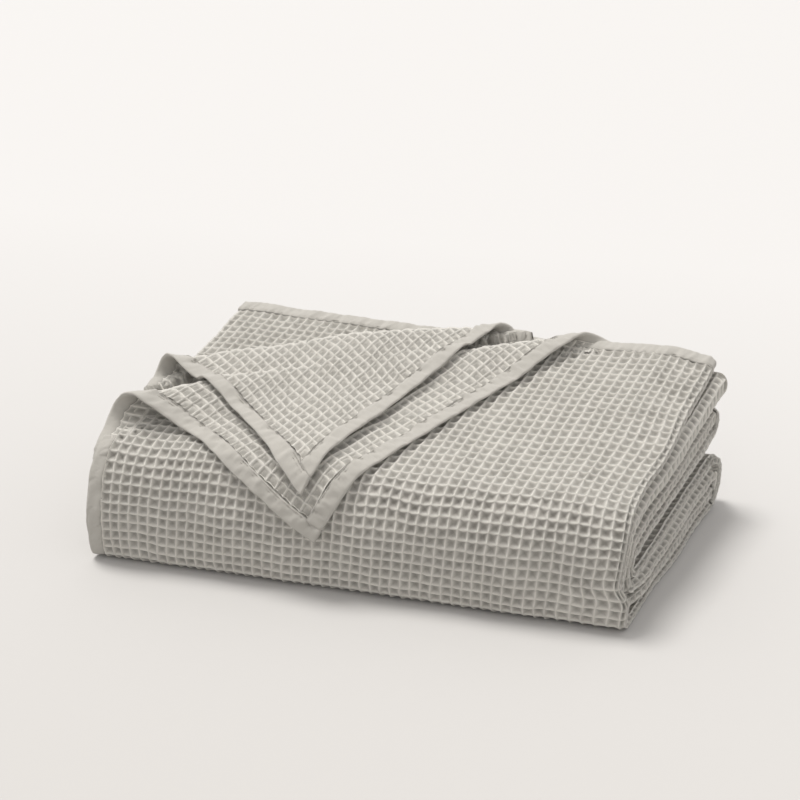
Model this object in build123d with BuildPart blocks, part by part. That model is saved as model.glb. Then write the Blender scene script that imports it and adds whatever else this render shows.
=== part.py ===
from build123d import *
from math import cos, hypot, pi, sin
import os

os.makedirs("parts", exist_ok=True)

# A large waffle-weave blanket, folded in half twice across its width and three times along
# its length, with the back left corner of its two top sheets turned back over the pile.
# Millimetres. X runs along the folded front, +Y goes to the back, +Z is up, and the origin
# is on the floor, under the middle of the pile.

# Size of the pile
WIDTH = 606.0  # along the front, from the left hems to the right folds
DEPTH = 326.0  # from the nose of the folds to the back hems
BACK_HEIGHT = 190.0  # the hems stack up at the back, so it is the thicker end
FRONT_HEIGHT = 140.0  # where the top starts to turn down into the nose
NOSE = 52.0  # how far the front folds reach in front of that line
LEAN = 0.262  # how far the pile leans to the right for each millimetre of depth
BELLY = 8.0  # height of the foremost point of the nose
UNDERSIDE = 25.0  # the turned-back corner ends above this height

# Cloth
SHEETS = 16  # sheets between the outside and the middle of the pile
HEM = 19.0  # width of the sewn-on binding
CLEAR = 0.3  # gap between neighbouring solids
UPPER_TURN = 22.0  # reach of the inner turns at the back
LOWER_TURN = 40.0  # reach of the outer turns at the back

# Turned-back corner of the sheets A (top) and B (under it). Each crease runs from the left
# side to the back. SIDE is how far from the back it starts, END is how far from the right it
# stops, and the tip of the flap is TIP_X from the right and TIP_S along the cloth.
SIDE_A = 208.0
END_A = 150.0
TIP_AX = 328.0
TIP_AS = 372.0
SIDE_B = 141.0
END_B = 256.0
TIP_BX = 348.0
TIP_BS = 323.0
ROLL_A = 8.0  # how far the rolled crease of A bulges beyond its straight part
ROLL_B = 13.0

# Shapes shared by the pieces
NOSE_POINTS = 9
SLOPE = (BACK_HEIGHT - FRONT_HEIGHT) / (DEPTH - NOSE)
STEP = 1.0 / SHEETS
GAP = CLEAR / 2 / NOSE  # the same gap as a share of the way in to the middle


def nose_outline():
    """Points (y, z) down the nose, from the top line to the floor, y from the nose's front."""
    points = []
    for i in range(NOSE_POINTS):
        a = pi / 2 * i / (NOSE_POINTS - 1)
        y = NOSE * (1 - sin(a))
        z = BELLY + (FRONT_HEIGHT - BELLY) * cos(a)
        points.append((y, z))
    under = 3
    for i in range(1, under + 1):
        a = pi / 2 * i / under
        points.append((NOSE * 0.3 * (1 - cos(a)), BELLY * (1 - sin(a))))
    return points


def inward(y, z, t):
    """A point of the outside moved the share t of the way in to the middle of the pile."""
    core_y = max(y, NOSE)
    core_z = (FRONT_HEIGHT + SLOPE * (core_y - NOSE)) / 2
    return (y + t * (core_y - y), z + t * (core_z - z))


def world_y(y):
    return y - DEPTH / 2


def layer(t, back):
    """The curve t of the way in, as top back point, nose points and bottom back point."""
    top = inward(back, FRONT_HEIGHT + SLOPE * (back - NOSE), t)
    nose = [inward(y, z, t) for y, z in nose_outline()]
    return top, nose


def yz(point):
    return (world_y(point[0]), point[1])


def plan(x, y):
    """A point of the floor plan: x from the right folds (negative), y from the nose."""
    return (x + WIDTH / 2 + LEAN * (y - DEPTH / 2), world_y(y))


def stations():
    """Where the cloth bends, as lengths along it from the back hem."""
    points = nose_outline()[:NOSE_POINTS]
    lengths = [hypot(DEPTH - NOSE, BACK_HEIGHT - FRONT_HEIGHT)]
    for a, b in zip(points[:-1], points[1:]):
        lengths.append(lengths[-1] + hypot(b[0] - a[0], b[1] - a[1]))
    return lengths


def along(s, t):
    """How far back the cloth is, s along it from the back hem, t of the way in."""
    lengths = stations()
    points = nose_outline()
    if s <= lengths[0]:
        return DEPTH - (DEPTH - NOSE) * s / lengths[0]
    for i in range(NOSE_POINTS - 1):
        if s <= lengths[i + 1]:
            share = (s - lengths[i]) / (lengths[i + 1] - lengths[i])
            y = points[i][0] + (points[i + 1][0] - points[i][0]) * share
            return inward(y, 0, t)[0]
    return inward(points[NOSE_POINTS - 1][0], 0, t)[0]


def edge(a, b, t):
    """Plan points along a straight line on the cloth, from a = (x, s) to b."""
    shares = [0.0, 1.0]
    for s in stations():
        if min(a[1], b[1]) < s < max(a[1], b[1]):
            shares.append((s - a[1]) / (b[1] - a[1]))
    points = []
    for share in sorted(shares):
        x = a[0] + (b[0] - a[0]) * share
        s = a[1] + (b[1] - a[1]) * share
        points.append(plan(x, along(s, t)))
    return points


def area(points):
    """Twice the signed area of a plan outline."""
    total = 0
    for a, b in zip(points, points[1:] + points[:1]):
        total = total + a[0] * b[1] - b[0] * a[1]
    return total


def facing_up(points):
    """The outline run anticlockwise, so that its face looks up."""
    if area(points) < 0:
        return points[::-1]
    return points


def band(t0, t1, top_back, bottom_back):
    """The cloth between two layers, open at the back, over the whole width."""
    top0, nose0 = layer(t0, top_back)
    top1, nose1 = layer(t1, top_back)
    low0 = inward(bottom_back, 0, t0)
    low1 = inward(bottom_back, 0, t1)
    with BuildSketch(Plane.YZ) as section:
        with BuildLine():
            Line(yz(top0), yz(nose0[0]))
            Spline([yz(p) for p in nose0])
            Line(yz(nose0[-1]), yz(low0))
            Line(yz(low0), yz(low1))
            Line(yz(low1), yz(nose1[-1]))
            Spline([yz(p) for p in nose1[::-1]])
            Line(yz(nose1[0]), yz(top1))
            Line(yz(top1), yz(top0))
        make_face()
    span(section.sketch)


def span(section):
    """Extrudes a YZ section over the whole width, lean included."""
    extrude(section, amount=WIDTH / 2 + LEAN * DEPTH, both=True)


def trim(outline, floor=-50.0):
    """Keeps only what stands on the plan outline, above the height floor."""
    with BuildSketch(Plane.XY.offset(floor)) as keep:
        Polygon(*facing_up(outline), align=None)
    extrude(keep.sketch, amount=BACK_HEIGHT + 150, mode=Mode.INTERSECT)


def cut_corner(side, end, shift):
    """Takes the corner behind a crease off the top run and leaves the bottom run whole."""
    with BuildSketch(Plane.XY.offset(UNDERSIDE)) as corner:
        Polygon(*facing_up(right_of(side, end, shift, -1)), align=None)
    extrude(corner.sketch, amount=BACK_HEIGHT + 150, mode=Mode.SUBTRACT)


def block(left, right, front=-60.0, back=DEPTH + 60.0):
    """Plan outline of a leaning block, left and right measured from the right folds."""
    return [plan(left, front), plan(right, front), plan(right, back), plan(left, back)]


def crease(side, end, shift):
    """Two plan points of a crease, moved by shift towards the front right."""
    a = plan(-WIDTH, along(side, 0))
    b = plan(-end, DEPTH)
    length = hypot(b[0] - a[0], b[1] - a[1])
    n = ((b[1] - a[1]) / length, -(b[0] - a[0]) / length)
    u = ((b[0] - a[0]) / length, (b[1] - a[1]) / length)
    far = 200.0
    p = (a[0] - u[0] * far + n[0] * shift, a[1] - u[1] * far + n[1] * shift)
    q = (b[0] + u[0] * far + n[0] * shift, b[1] + u[1] * far + n[1] * shift)
    return p, q, n


def right_of(side, end, shift, way=1):
    """Plan outline of all that lies to the front right of a crease, or behind it."""
    p, q, n = crease(side, end, shift)
    far = 1200.0 * way
    return [p, q, (q[0] + n[0] * far, q[1] + n[1] * far), (p[0] + n[0] * far, p[1] + n[1] * far)]


# ---- Top run: the sheets A and B with their hems, and the pair C-D folded at the left ----

LEFT = -WIDTH
INNER = -WIDTH + HEM
HEM_Y = DEPTH - HEM
BOTTOM_BACK = DEPTH - LOWER_TURN

with BuildPart() as sheet_a:
    band(GAP, STEP - GAP, HEM_Y - CLEAR, BOTTOM_BACK)
    trim(block(INNER + CLEAR, 0))
    cut_corner(SIDE_A, END_A, ROLL_A + CLEAR)

with BuildPart() as sheet_b:
    band(STEP + GAP, 2 * STEP - GAP, HEM_Y - CLEAR, BOTTOM_BACK)
    trim(block(INNER + CLEAR, -1.0))
    cut_corner(SIDE_B, END_B, ROLL_B + CLEAR)

with BuildPart() as sheet_cd:
    band(2 * STEP + GAP, 4 * STEP - GAP, HEM_Y - CLEAR, BOTTOM_BACK)
    trim(block(LEFT + 3.0, 0))

# ---- Second, third and fourth wraps of the cloth inside the first ----

with BuildPart() as wrap_2:
    band(4 * STEP + GAP, 8 * STEP - GAP, HEM_Y - CLEAR, BOTTOM_BACK)
    trim(block(INNER + CLEAR, 0))

with BuildPart() as wrap_3:
    band(8 * STEP + GAP, 12 * STEP - GAP, DEPTH - UPPER_TURN, BOTTOM_BACK)
    trim(block(INNER + CLEAR, 0))

with BuildPart() as wrap_4:
    band(12 * STEP + GAP, 1 - 2 * GAP, DEPTH - UPPER_TURN, BOTTOM_BACK)
    trim(block(INNER + CLEAR, 0))

# ---- Turns at the back, where the runs of cloth join two by two ----


def height_at(t, upper, back):
    """Height of the layer t at the depth back, above or below the middle of the pile."""
    full = FRONT_HEIGHT + SLOPE * (back - NOSE)
    if upper:
        return full * (1 - t / 2)
    return full * t / 2


def turn(low, high, start, reach, inner=0.0):
    """Half an ellipse standing on the plane y = start, or half a ring if inner is set."""
    middle = (low + high) / 2
    half = (high - low) / 2
    with BuildSketch(Plane.YZ) as section:
        with Locations((world_y(start), middle)):
            Ellipse(reach, half)
            if inner > 0:
                Ellipse(reach * inner, half * inner, mode=Mode.SUBTRACT)
        with Locations((world_y(start) - reach, middle)):
            Rectangle(2 * reach, 2 * half + 2, mode=Mode.SUBTRACT)
    span(section.sketch)


UPPER_START = DEPTH - UPPER_TURN + CLEAR
LOWER_START = DEPTH - LOWER_TURN + CLEAR
FULL_BACK = FRONT_HEIGHT + SLOPE * (LOWER_START - NOSE)

with BuildPart() as turn_upper:
    turn(
        height_at(1, True, UPPER_START) + 1.0,
        height_at(8 * STEP, True, UPPER_START) - 1.0,
        UPPER_START,
        UPPER_TURN,
    )
    trim(block(LEFT + 3.0, 0))

with BuildPart() as turn_lower_outer:
    turn(0.2, FULL_BACK / 2 - 0.4, LOWER_START, LOWER_TURN, inner=0.5)
    trim(block(LEFT + 3.0, 0))

with BuildPart() as turn_lower_inner:
    turn(
        FULL_BACK / 4 - FULL_BACK / 8 + 0.4,
        FULL_BACK / 4 + FULL_BACK / 8 - 0.4,
        LOWER_START,
        LOWER_TURN / 2 - CLEAR,
    )
    trim(block(LEFT + 3.0, 0))

# ---- Turned-back corner: flap A lies on sheet A, and flap B lies on flap A ----


def on_flap(side, end, tip_x, tip_s, a, b):
    """A point (x, s) of a flap: a along its side hem and b along its back hem, from the tip."""
    p = (-WIDTH - (-tip_x), side - tip_s)
    q = (-end - (-tip_x), 0.0 - tip_s)
    to_p = hypot(*p)
    to_q = hypot(*q)
    return (-tip_x + a * p[0] / to_p + b * q[0] / to_q, tip_s + a * p[1] / to_p + b * q[1] / to_q)


def flap_outline(kind, side, end, tip_x, tip_s, t):
    """Plan outline of the flap's cloth, of its side binding or of its back binding."""
    far = 30.0  # past the crease, where the outline is cut off later
    to_p = hypot(WIDTH - tip_x, tip_s - side) + far
    to_q = hypot(tip_x - end, tip_s) + far
    inner = HEM + CLEAR
    corners = {
        "cloth": [(inner, inner), (to_p, inner), (inner, to_q)],
        "side": [(0, 0), (to_p, 0), (to_p, HEM), (0, HEM)],
        "back": [(0, inner), (HEM, inner), (HEM, to_q), (0, to_q)],
    }[kind]
    outline = []
    for one, two in zip(corners, corners[1:] + corners[:1]):
        start = on_flap(side, end, tip_x, tip_s, *one)
        stop = on_flap(side, end, tip_x, tip_s, *two)
        outline = outline + edge(start, stop, t)[:-1]
    return outline


def flap_piece(kind, level, side, end, tip_x, tip_s, roll):
    """One solid of a flap. level counts sheets above the pile's own top."""
    t = -(level - 0.5) * STEP
    band(-level * STEP + GAP, -(level - 1) * STEP - GAP, DEPTH, NOSE + 30)
    trim(flap_outline(kind, side, end, tip_x, tip_s, t), floor=UNDERSIDE)
    trim(right_of(side, end, roll + CLEAR))


with BuildPart() as flap_a:
    flap_piece("cloth", 1, SIDE_A, END_A, TIP_AX, TIP_AS, ROLL_A)

with BuildPart() as flap_a_binding_side:
    flap_piece("side", 1, SIDE_A, END_A, TIP_AX, TIP_AS, ROLL_A)

with BuildPart() as flap_a_binding_back:
    flap_piece("back", 1, SIDE_A, END_A, TIP_AX, TIP_AS, ROLL_A)

with BuildPart() as flap_b:
    flap_piece("cloth", 2, SIDE_B, END_B, TIP_BX, TIP_BS, ROLL_B)

with BuildPart() as flap_b_binding_side:
    flap_piece("side", 2, SIDE_B, END_B, TIP_BX, TIP_BS, ROLL_B)

with BuildPart() as flap_b_binding_back:
    flap_piece("back", 2, SIDE_B, END_B, TIP_BX, TIP_BS, ROLL_B)


def roll_plane(side, end, shift, level):
    """Plane across a crease at its left end, on the slope of the pile's top."""
    n = crease(side, end, shift)[2]
    start = plan(-WIDTH, along(side, 0))
    stop = plan(-end, DEPTH)
    a = (start[0] + n[0] * shift, start[1] + n[1] * shift)
    b = (stop[0] + n[0] * shift, stop[1] + n[1] * shift)
    za = FRONT_HEIGHT + SLOPE * (a[1] + DEPTH / 2 - NOSE) + level
    zb = FRONT_HEIGHT + SLOPE * (b[1] + DEPTH / 2 - NOSE) + level
    run = (b[0] - a[0], b[1] - a[1], zb - za)
    return Plane(origin=(a[0], a[1], za), x_dir=(n[0], n[1], -0.0001), z_dir=run), hypot(*run)


def rolled_crease(side, end, reach, high, level):
    """Half a rod along a crease, its flat side towards the flap."""
    across, length = roll_plane(side, end, reach, level)
    with BuildSketch(across) as half:
        Ellipse(reach, high / 2)
        with Locations((reach, 0)):
            Rectangle(2 * reach, high + 2, mode=Mode.SUBTRACT)
    extrude(half.sketch, amount=length)


with BuildPart() as roll_a:
    rolled_crease(SIDE_A, END_A, ROLL_A, 8.0, 0.0)
    trim(block(LEFT, 0, back=DEPTH))

with BuildPart() as roll_b:
    rolled_crease(SIDE_B, END_B, ROLL_B, 17.0, 0.0)
    trim(block(LEFT, 0, back=DEPTH))

# ---- Bindings of the left hems and of the back hems ----

with BuildPart() as binding_left_a:
    band(GAP, STEP - GAP, HEM_Y, BOTTOM_BACK)
    trim(block(LEFT, INNER))
    cut_corner(SIDE_A, END_A, ROLL_A + CLEAR)

with BuildPart() as binding_left_b:
    band(STEP + GAP, 2 * STEP - GAP, HEM_Y, BOTTOM_BACK)
    trim(block(LEFT, INNER))
    cut_corner(SIDE_B, END_B, ROLL_B + CLEAR)

with BuildPart() as binding_left_2:
    band(4 * STEP + GAP, 8 * STEP - GAP, HEM_Y - CLEAR, BOTTOM_BACK)
    trim(block(LEFT, INNER))

with BuildPart() as binding_left_3:
    band(8 * STEP + GAP, 12 * STEP - GAP, DEPTH - UPPER_TURN, BOTTOM_BACK)
    trim(block(LEFT, INNER))

with BuildPart() as binding_left_4:
    band(12 * STEP + GAP, 1 - 2 * GAP, DEPTH - UPPER_TURN, BOTTOM_BACK)
    trim(block(LEFT, INNER))


def back_hem(t0, t1, left):
    """The strip of binding that ends a run of cloth at the back."""
    corners0 = [inward(y, FRONT_HEIGHT + SLOPE * (y - NOSE), t0) for y in (HEM_Y, DEPTH)]
    corners1 = [inward(y, FRONT_HEIGHT + SLOPE * (y - NOSE), t1) for y in (DEPTH, HEM_Y)]
    with BuildSketch(Plane.YZ) as section:
        Polygon(*[yz(p) for p in corners1 + corners0], align=None)
    span(section.sketch)
    trim(block(left, 0))


with BuildPart() as binding_back_a:
    back_hem(GAP, STEP - GAP, LEFT)
    cut_corner(SIDE_A, END_A, ROLL_A + CLEAR)

with BuildPart() as binding_back_b:
    back_hem(STEP + GAP, 2 * STEP - GAP, LEFT)
    cut_corner(SIDE_B, END_B, ROLL_B + CLEAR)

with BuildPart() as binding_back_cd:
    back_hem(2 * STEP + GAP, 4 * STEP - GAP, LEFT + 3.0)

with BuildPart() as binding_back_2:
    back_hem(4 * STEP + GAP, 8 * STEP - GAP, LEFT + 3.0)

PIECES = {
    "sheet_a": sheet_a,
    "sheet_b": sheet_b,
    "sheet_cd": sheet_cd,
    "wrap_2": wrap_2,
    "wrap_3": wrap_3,
    "wrap_4": wrap_4,
    "turn_upper": turn_upper,
    "turn_lower_outer": turn_lower_outer,
    "turn_lower_inner": turn_lower_inner,
    "flap_a": flap_a,
    "flap_b": flap_b,
    "roll_a": roll_a,
    "roll_b": roll_b,
    "binding_left_a": binding_left_a,
    "binding_left_b": binding_left_b,
    "binding_left_2": binding_left_2,
    "binding_left_3": binding_left_3,
    "binding_left_4": binding_left_4,
    "binding_back_a": binding_back_a,
    "binding_back_b": binding_back_b,
    "binding_back_cd": binding_back_cd,
    "binding_back_2": binding_back_2,
    "flap_a_binding_side": flap_a_binding_side,
    "flap_a_binding_back": flap_a_binding_back,
    "flap_b_binding_side": flap_b_binding_side,
    "flap_b_binding_back": flap_b_binding_back,
}

for name, piece in PIECES.items():
    piece.part.label = name
    export_step(piece.part, "parts/" + name + ".step")
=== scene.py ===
"""A waffle-weave blanket folded into a pile, with its bound back corner turned back."""

import math

import bmesh
import bpy
import numpy as np
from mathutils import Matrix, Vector


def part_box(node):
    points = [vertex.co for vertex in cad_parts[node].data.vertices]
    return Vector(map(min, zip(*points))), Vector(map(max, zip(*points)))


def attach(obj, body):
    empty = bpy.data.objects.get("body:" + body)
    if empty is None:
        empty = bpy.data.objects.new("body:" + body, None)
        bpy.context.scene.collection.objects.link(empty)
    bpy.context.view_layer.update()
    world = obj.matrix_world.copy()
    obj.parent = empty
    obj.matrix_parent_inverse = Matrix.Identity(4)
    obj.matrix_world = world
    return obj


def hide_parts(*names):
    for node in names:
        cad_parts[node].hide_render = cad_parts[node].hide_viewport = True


bl_info = {
    "name": "Folded waffle blanket",
    "version": (1, 0, 0),
    "blender": (4, 5, 0),
    "location": "3D View > Sidebar > Blanket",
    "description": "Builds a folded waffle-weave blanket, its bindings and its stage",
    "category": "Object",
}

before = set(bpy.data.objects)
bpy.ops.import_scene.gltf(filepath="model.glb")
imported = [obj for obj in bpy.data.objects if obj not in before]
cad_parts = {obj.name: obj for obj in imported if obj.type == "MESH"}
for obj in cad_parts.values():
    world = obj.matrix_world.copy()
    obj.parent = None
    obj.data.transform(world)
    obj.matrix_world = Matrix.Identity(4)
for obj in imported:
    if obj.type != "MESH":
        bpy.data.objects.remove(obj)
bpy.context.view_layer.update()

# The camera's lens in mm, its distance from the pile's near right end in cells, and how far
# aside of and below the lens axis that end is, as shares of the distance
CAMERA_LENS = 60.3
CAMERA_CELLS = 125.2
CAMERA_ASIDE = 0.1582
CAMERA_BELOW = 0.1761

LEAN = 0.262  # how far the pile leans to the right for each metre of depth
TURN_BACK = 0.040  # reach of the outer turns at the back
UPPER_BACK = 0.022  # reach of the inner turns at the back
RIDGE_STEPS = (0.0, 0.11, 0.28, 0.50, 0.72, 0.89)  # mesh lines across a fine cell
COARSE_STEPS = (0.0, 0.16, 0.50, 0.84)  # mesh lines across a cell that is hardly seen
LINING_DROP = 0.0042  # from a turned-back corner's cloth to its other side
LINING_DEPTH = 0.003  # depth of the cells on that side
LINING_TUCK = 0.005  # how far that side reaches under the binding
FOLD_DEPTH = 0.0022  # depth of the cells where the left folds bend
TAPE_PATTERN = 0.0114  # size of one repeat of the binding's weave
STITCH_ROWS = (0.0016, 0.0046)  # how far the rows of stitches are from the binding's inner edge
STITCH_LIFT = 0.0012  # how far the thread stands over the middle of the binding


class PileSize:
    """The pile's main measures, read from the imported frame."""

    def __init__(self):
        low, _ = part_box("sheet_a")
        _, hem_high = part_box("binding_back_a")
        left_low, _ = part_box("binding_left_a")
        self.front = low.y
        self.back = hem_high.y
        self.depth = self.back - self.front
        self.right = hem_high.x
        self.left = left_low.x
        self.width = self.right - self.left - LEAN * self.depth
        self.back_height = hem_high.z
        self.front_height = self.back_height - 0.050
        self.nose = 0.052
        self.belly = 0.020
        self.core = 0.43  # height of the pile's middle as a share of its height


SIZE = PileSize()


# ---- Noise that is the same on every run ----


def waves(x, y, seed, scale, count=7):
    """Gentle hills from -1 to 1 over a plane, about scale across."""
    rng = np.random.default_rng(seed)
    total = np.zeros(np.broadcast(x, y).shape)
    for _ in range(count):
        angle = rng.uniform(0, 2 * math.pi)
        size = scale * rng.uniform(0.6, 1.7)
        phase = rng.uniform(0, 2 * math.pi)
        turn = 2 * math.pi / size
        total = total + np.sin(turn * (x * math.cos(angle) + y * math.sin(angle)) + phase)
    return total / math.sqrt(count) / 1.3


def ease(t):
    """0 to 1 with a soft start and end."""
    t = np.clip(t, 0, 1)
    return t * t * (3 - 2 * t)


# ---- The shape that the cloth is folded to ----


def side_profile():
    """Points (y from the nose, z) and their cores, from the top back edge round the nose."""
    s = SIZE
    slope = (s.back_height - s.front_height) / (s.depth - s.nose)
    top_y = np.linspace(s.depth + 0.04, s.nose, 300)[:-1]
    top_z = s.front_height + slope * (top_y - s.nose)
    a = np.linspace(0, math.pi / 2, 160)
    nose_y = s.nose * (1 - np.sin(a))
    nose_z = s.belly + (s.front_height - s.belly) * np.cos(a)
    b = np.linspace(0, math.pi / 2, 60)[1:]
    under_y = s.nose * 0.12 * (1 - np.cos(b))
    under_z = s.belly * (1 - np.sin(b))
    low_y = np.linspace(s.nose * 0.12, s.depth + 0.04, 300)[1:]
    y = np.concatenate([top_y, nose_y, under_y, low_y])
    z = np.concatenate([top_z, nose_z, under_z, low_y * 0])
    length = np.concatenate([[0], np.cumsum(np.hypot(np.diff(y), np.diff(z)))])
    even = np.arange(0, length[-1], 0.001)
    y = np.interp(even, length, y)
    z = np.interp(even, length, z)
    kernel = np.exp(-0.5 * (np.arange(-45, 46) / 10) ** 2)
    kernel = kernel / kernel.sum()
    pad_y = np.concatenate([2 * y[0] - y[45:0:-1], y, 2 * y[-1] - y[-2:-47:-1]])
    pad_z = np.concatenate([2 * z[0] - z[45:0:-1], z, 2 * z[-1] - z[-2:-47:-1]])
    y = np.convolve(pad_y, kernel, "valid")
    z = np.maximum(np.convolve(pad_z, kernel, "valid"), 0)
    core_y = np.maximum(y, s.nose)
    core_z = (s.front_height + slope * (core_y - s.nose)) * s.core
    length = np.concatenate([[0], np.cumsum(np.hypot(np.diff(y), np.diff(z)))])
    start = np.interp(-s.depth, -y[:200], length[:200])
    return length - start, y, z, core_y, core_z


PATH, PATH_Y, PATH_Z, CORE_Y, CORE_Z = side_profile()
BOTTOM_BACK = float(np.interp(SIZE.depth - TURN_BACK, PATH_Y[-250:], PATH[-250:]))
UPPER_END = float(np.interp(-(SIZE.depth - UPPER_BACK), -PATH_Y[:200], PATH[:200]))


def section(s, inside, out=0.0):
    """Point (y from the nose, z) of the fold, s along the outside, inside of the way in."""
    y = np.interp(s, PATH, PATH_Y)
    z = np.interp(s, PATH, PATH_Z)
    cy = np.interp(s, PATH, CORE_Y)
    cz = np.interp(s, PATH, CORE_Z)
    e = 0.004
    ty = np.interp(s + e, PATH, PATH_Y) - np.interp(s - e, PATH, PATH_Y)
    tz = np.interp(s + e, PATH, PATH_Z) - np.interp(s - e, PATH, PATH_Z)
    size = np.hypot(ty, tz) + 1e-9
    y = y + inside * (cy - y) + out * tz / size
    z = z + inside * (cz - z) - out * ty / size
    return y, z


def in_pile(xb, y, z):
    """The point of the pile at xb from the right end, y from the nose and z up, with the
    pile's lean, its rise to the left, the droop of its right end and its soft unevenness."""
    wy = y + SIZE.front
    x = xb + SIZE.width / 2 + LEAN * wy
    share = np.clip(-xb / SIZE.width, 0, 1)
    back = np.clip(y / SIZE.depth, 0, 1.1)
    rise = 0.052 * ease(-xb / 0.065) * back + 0.088 * ease((share - 0.42) / 0.58) * back
    rise = rise + 0.035 * share * (1 - back)
    rise = rise - 0.035 * np.exp(-((-xb / 0.05) ** 2)) * (1 - back)
    z = z * (1 + rise)
    lift = 0.0017 * waves(x, wy, 11, 0.17) + 0.0007 * waves(x, wy, 12, 0.07)
    push = 0.0017 * waves(x, z, 13, 0.17) + 0.0007 * waves(x, z, 14, 0.07)
    low = ease(z / 0.02)
    return np.stack([x, wy + push * low, z + lift * low], -1)


def folded(xb, s, inside=0.0, out=0.0):
    """Where the cloth is. xb is metres from the right end (negative to the left), s is metres
    along the outside from the back hem, inside is the share of the way in to the middle of the
    pile, and out is metres outward along the surface's normal."""
    xb, s, inside, out = np.broadcast_arrays(*[np.asarray(a, float) for a in (xb, s, inside, out)])
    y, z = section(s, inside, out)
    return in_pile(xb, y, z)


# ---- Meshes of cloth ----


def cell_lines(first, last, steps):
    """Places of the mesh lines, in cells, from cell first to cell last."""
    lines = [i + t for i in range(first, last) for t in steps]
    return np.array(lines + [float(last)])


def relief(u, v, depth):
    """Height of the waffle's surface, 0 at the knots and -depth in the middle of a cell."""
    a = np.abs(u - np.floor(u) - 0.5) * 2
    b = np.abs(v - np.floor(v) - 0.5) * 2
    rim = np.maximum(a, b)
    pit = np.interp(rim, (0.0, 0.44, 0.78, 0.92, 1.0), (0.0, 0.30, 0.64, 0.86, 1.0))
    sag = np.where(b > a, 0.20 * (1 - a**2), 0.06 * (1 - b**2)) * np.clip((rim - 0.5) / 0.5, 0, 1)
    return depth * (pit - 1 - sag)


def unit(v):
    return v / (np.linalg.norm(v, axis=-1, keepdims=True) + 1e-12)


def grid_mesh(name, u_lines, v_lines, place, uv=None, keep=None, weld=False):
    """A piece made from a flat grid whose points are moved to place(u, v)."""
    bm = bmesh.new()
    nu = len(u_lines) - 1
    nv = len(v_lines) - 1
    bmesh.ops.create_grid(bm, x_segments=nu, y_segments=nv, size=0.5)
    mesh = bpy.data.meshes.new(name)
    bm.to_mesh(mesh)
    bm.free()
    co = np.zeros(len(mesh.vertices) * 3, np.float32)
    mesh.vertices.foreach_get("co", co)
    co = co.reshape(-1, 3)
    u = u_lines[np.rint((co[:, 0] + 0.5) * nu).astype(int)]
    v = v_lines[np.rint((co[:, 1] + 0.5) * nv).astype(int)]
    points = place(u, v)
    mesh.vertices.foreach_set("co", points.astype(np.float32).ravel())
    layer = mesh.uv_layers.new(name="cloth")
    index = np.zeros(len(mesh.loops), np.int32)
    mesh.loops.foreach_get("vertex_index", index)
    uu, vv = (u, v) if uv is None else uv(u, v)
    layer.data.foreach_set("uv", np.stack([uu[index], vv[index]], -1).astype(np.float32).ravel())
    if keep is not None or weld:
        bm = bmesh.new()
        bm.from_mesh(mesh)
        if keep is not None:
            bm.verts.ensure_lookup_table()
            good = keep(u, v)
            bad = [f for f in bm.faces if not all(good[w.index] for w in f.verts)]
            bmesh.ops.delete(bm, geom=bad, context="FACES")
            loose = [w for w in bm.verts if not w.link_faces]
            bmesh.ops.delete(bm, geom=loose, context="VERTS")
        if weld:
            bmesh.ops.remove_doubles(bm, verts=bm.verts[:], dist=0.00002)
            bmesh.ops.recalc_face_normals(bm, faces=bm.faces[:])
        bm.to_mesh(mesh)
        bm.free()
    mesh.shade_smooth()
    piece = bpy.data.objects.new(name, mesh)
    bpy.context.scene.collection.objects.link(piece)
    return piece


def turned_out(place, u, v, e=0.0008):
    """Unit normals of the surface place(u, v)."""
    du = place(u + e, v) - place(u - e, v)
    dv = place(u, v + e) - place(u, v - e)
    return unit(np.cross(du, dv))


def flip(piece):
    piece.data.flip_normals()
    return piece


def waffle(
    name, u_cells, v_cells, place, side=1, depth=None, steps=RIDGE_STEPS, keep=None, seed=1, droop=1
):
    """A stretch of waffle cloth. place takes metres along the cloth and gives points; side is
    1 if u crossed with v looks outward, else -1; droop is how far the cross ridges sag along v."""
    cell = settings().cell
    depth = settings().relief if depth is None else depth
    u_lines = cell_lines(*u_cells, steps)
    v_lines = cell_lines(*v_cells, steps)

    def shaped(u, v):
        ju = u + 0.09 * waves(u, v, seed + 50, 9.0) + 0.05 * waves(u, v, seed + 51, 2.3)
        jv = v + 0.09 * waves(u, v, seed + 52, 9.0) + 0.05 * waves(u, v, seed + 53, 2.3)
        fu = 2 * (u - np.floor(u)) - 1
        fv = 2 * (v - np.floor(v)) - 1
        jv = jv + 0.12 * (1 - fu**2) * fv**2 * droop
        points = place(ju * cell, jv * cell)
        normals = turned_out(place, ju * cell, jv * cell) * side
        uneven = 1 + 0.16 * waves(u, v, seed + 54, 3.1)
        puff = 0.00030 * waves(u, v, seed + 55, 1.4) + 0.00028 * waves(u, v, seed + 56, 0.45)
        return points + normals * (relief(u, v, depth) * uneven + puff)[:, None]

    piece = grid_mesh(name, u_lines, v_lines, shaped, keep=keep)
    if side < 0:
        flip(piece)
    return piece


def close_ends(piece):
    """Closes the open ends of a tube."""
    mesh = bmesh.new()
    mesh.from_mesh(piece.data)
    rims = [edge for edge in mesh.edges if edge.is_boundary]
    bmesh.ops.holes_fill(mesh, edges=rims, sides=0)
    bmesh.ops.recalc_face_normals(mesh, faces=mesh.faces)
    mesh.to_mesh(piece.data)
    mesh.free()


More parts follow.
